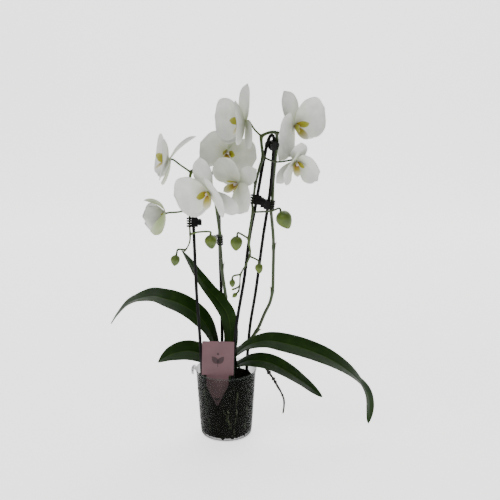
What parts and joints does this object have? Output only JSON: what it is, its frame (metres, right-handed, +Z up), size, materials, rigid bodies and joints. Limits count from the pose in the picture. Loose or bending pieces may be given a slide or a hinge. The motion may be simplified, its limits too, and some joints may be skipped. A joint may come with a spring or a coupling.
{
  "type": "potted orchid",
  "caption": "White moth orchid with two arching flower spikes clipped to bent wire supports, growing in bark in a clear plastic pot with a stick-in label.",
  "frame": {"origin": "centre of the pot's underside, on the surface that it stands on", "axes": "+Z up, -Y to the front where the label stands, +X to the right seen from the front"},
  "size_m": [0.517, 0.1759, 0.7042],
  "materials": {
    "clear_plastic": "thin clear plastic with a grey-green cast and fine haze",
    "bark": "rough dark pine bark chips with a few greenish roots",
    "label_plastic": "satin dusty-pink plastic card, plain leaf sign",
    "leaf_green": "thick waxy leaf, satin, darker along the midrib",
    "root_grey": "dry knobbly grey-black aerial root",
    "wire_coating": "black plastic-coated wire, satin",
    "stem_green": "dark olive stem with brown tint, satin",
    "bud_green": "olive-green bud, soft satin",
    "petal_white": "white petal tissue with faint veins, light passes through",
    "lip_yellow": "yellow-green lip with orange-brown markings and white tip",
    "clip_plastic": "black moulded plastic"
  },
  "bodies": {
    "plant": {"pot": "clear_plastic", "potting_bark": "bark", "pot_label": "label_plastic", "crown": "leaf_green", "leaf_upper_left": "leaf_green", "leaf_lower_left": "leaf_green", "leaf_middle": "leaf_green", "leaf_upper_right": "leaf_green", "leaf_lower_right": "leaf_green", "aerial_root": "root_grey", "support_bow_left": "wire_coating", "support_bow_right": "wire_coating", "flower_spike_left": "stem_green", "flower_spike_right": "stem_green", "bud_1": "bud_green", "bud_2": "bud_green", "bud_3": "bud_green", "bud_4": "bud_green", "bud_5": "bud_green", "bud_6": "bud_green", "bud_7": "bud_green", "bud_8": "bud_green", "flower_1_sepals": "petal_white", "flower_1_petals": "petal_white", "flower_1_lip": "lip_yellow", "flower_2_sepals": "petal_white", "flower_2_petals": "petal_white", "flower_2_lip": "lip_yellow", "flower_3_sepals": "petal_white", "flower_3_petals": "petal_white", "flower_3_lip": "lip_yellow", "flower_4_sepals": "petal_white", "flower_4_petals": "petal_white", "flower_4_lip": "lip_yellow", "flower_5_sepals": "petal_white", "flower_5_petals": "petal_white", "flower_5_lip": "lip_yellow", "flower_6_sepals": "petal_white", "flower_6_petals": "petal_white", "flower_6_lip": "lip_yellow", "flower_7_sepals": "petal_white", "flower_7_petals": "petal_white", "flower_7_lip": "lip_yellow", "flower_8_sepals": "petal_white", "flower_8_petals": "petal_white", "flower_8_lip": "lip_yellow", "clip_1_fixed": "clip_plastic", "clip_2_fixed": "clip_plastic", "clip_3_fixed": "clip_plastic", "clip_4_fixed": "clip_plastic", "clip_5_fixed": "clip_plastic"},
    "clip_1_jaw": {"clip_1_moving": "clip_plastic"},
    "clip_2_jaw": {"clip_2_moving": "clip_plastic"},
    "clip_3_jaw": {"clip_3_moving": "clip_plastic"},
    "clip_4_jaw": {"clip_4_moving": "clip_plastic"},
    "clip_5_jaw": {"clip_5_moving": "clip_plastic"}
  },
  "joints": [
    {"name": "clip_1_hinge", "type": "hinge", "parent": "plant", "child": "clip_1_jaw", "pos_m": [-0.05338, -0.02014, 0.44138], "axis": [0.0053, 0.1021, 0.9948], "range_deg": [0, 30], "stiffness_Nm_per_rad": 0.02, "springref_deg": -28.65},
    {"name": "clip_2_hinge", "type": "hinge", "parent": "plant", "child": "clip_2_jaw", "pos_m": [-0.01239, 0.0234, 0.39707], "axis": [-0.0054, -0.0177, 0.9998], "range_deg": [0, 30], "stiffness_Nm_per_rad": 0.02, "springref_deg": -28.65},
    {"name": "clip_3_hinge", "type": "hinge", "parent": "plant", "child": "clip_3_jaw", "pos_m": [0.06577, -0.01719, 0.48304], "axis": [0.1774, 0.0851, 0.9804], "range_deg": [0, 30], "stiffness_Nm_per_rad": 0.02, "springref_deg": -28.65},
    {"name": "clip_4_hinge", "type": "hinge", "parent": "plant", "child": "clip_4_jaw", "pos_m": [0.0764, 0.0204, 0.46653], "axis": [0.1407, -0.0854, 0.9864], "range_deg": [0, 30], "stiffness_Nm_per_rad": 0.02, "springref_deg": -28.65},
    {"name": "clip_5_hinge", "type": "hinge", "parent": "plant", "child": "clip_5_jaw", "pos_m": [0.0874, 0.0039, 0.58324], "axis": [0.0398, -0.1734, 0.984], "range_deg": [0, 30], "stiffness_Nm_per_rad": 0.02, "springref_deg": -28.65}
  ]
}
